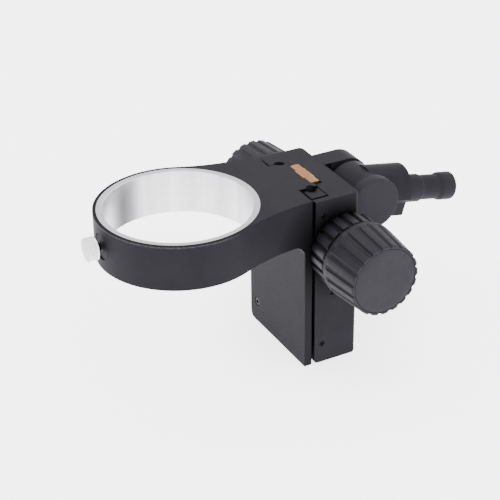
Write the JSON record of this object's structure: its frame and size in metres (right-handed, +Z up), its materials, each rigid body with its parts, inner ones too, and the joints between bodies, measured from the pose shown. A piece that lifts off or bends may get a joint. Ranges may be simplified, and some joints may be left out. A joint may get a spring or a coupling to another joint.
{
  "type": "stereo microscope focusing holder",
  "caption": "Rack-and-pinion focusing holder for a stereo microscope head: ring arm with thumbscrew, focus knobs and a tilting mounting pin.",
  "frame": {"origin": "on the flat base of the rack housing, straight under the pinion axis, on the middle plane", "axes": "+Z up along the focusing travel, +Y towards the mounting pin at the rear, +X towards the right-hand focus knob with the slotted tension collar"},
  "size_m": [0.1394, 0.2174, 0.0984],
  "materials": {
    "black_paint": "satin black paint on cast aluminium",
    "knob_plastic": "moulded black plastic, fine grain",
    "bare_aluminium": "machined bare aluminium",
    "steel": "ground steel",
    "dark_steel": "black oxide steel",
    "rack_brass": "machined brass",
    "bronze": "sintered bronze",
    "fibre": "red-brown fibre",
    "nylon": "natural nylon"
  },
  "bodies": {
    "housing": {"rack_housing": "black_paint", "gib_bar": "black_paint", "gib_screw_upper": "dark_steel", "gib_screw_lower": "dark_steel", "lock_screw": "dark_steel", "slide_rod_left": "steel", "slide_rod_right": "steel", "bushing_left": "bronze", "bushing_right": "bronze", "friction_washer_left": "fibre", "friction_washer_right": "fibre", "spacer_collar": "knob_plastic", "tilt_bolt": "dark_steel", "tilt_disc": "black_paint", "tilt_washer": "fibre"},
    "tension_collar": {"tension_collar": "knob_plastic"},
    "carriage": {"head_ring_arm": "black_paint", "focus_rack": "rack_brass", "rack_screw_1": "steel", "rack_screw_2": "steel", "rack_screw_3": "steel", "rack_screw_4": "steel", "stop_screw": "dark_steel"},
    "focus_shaft": {"pinion_shaft": "steel", "pinion": "steel", "focus_knob_right": "knob_plastic", "focus_knob_left": "knob_plastic", "knob_cap_right": "knob_plastic", "knob_cap_left": "knob_plastic", "knob_screw_right": "steel", "knob_screw_left": "steel"},
    "clamp_tip": {"clamp_tip": "nylon"},
    "clamp_screw": {"clamp_thumbscrew": "bare_aluminium"},
    "tilt": {"tilt_knuckle": "black_paint", "mount_pin": "black_paint", "pin_set_screw": "dark_steel"}
  },
  "joints": [
    {"name": "focus_slide", "type": "slide", "parent": "housing", "child": "carriage", "axis": [0, 0, 1], "range_m": [-0.008, 0.042]},
    {"name": "focus_turn", "type": "hinge", "parent": "housing", "child": "focus_shaft", "pos_m": [0, 0, 0.0672], "axis": [1, 0, 0], "range_deg": [-580, 580]},
    {"name": "tension_turn", "type": "hinge", "parent": "housing", "child": "tension_collar", "pos_m": [0.0364, 0, 0.0672], "axis": [1, 0, 0], "range_deg": [-90, 90]},
    {"name": "clamp_slide", "type": "slide", "parent": "carriage", "child": "clamp_tip", "axis": [0, 1, 0], "range_m": [-0.003, 0.0015]},
    {"name": "clamp_turn", "type": "hinge", "parent": "clamp_tip", "child": "clamp_screw", "pos_m": [0, -0.1256, 0.0866], "axis": [0, 1, 0], "range_deg": [-1360, 690]},
    {"name": "tilt", "type": "hinge", "parent": "housing", "child": "tilt", "pos_m": [0, 0.0274, 0.0787], "axis": [1, 0, 0], "range_deg": [-49.5, 70.5]}
  ],
  "couplings": [
    {"joint": "focus_turn", "follows": "focus_slide", "rad_per_m": -238.1},
    {"joint": "clamp_turn", "follows": "clamp_slide", "rad_per_m": 7854}
  ]
}
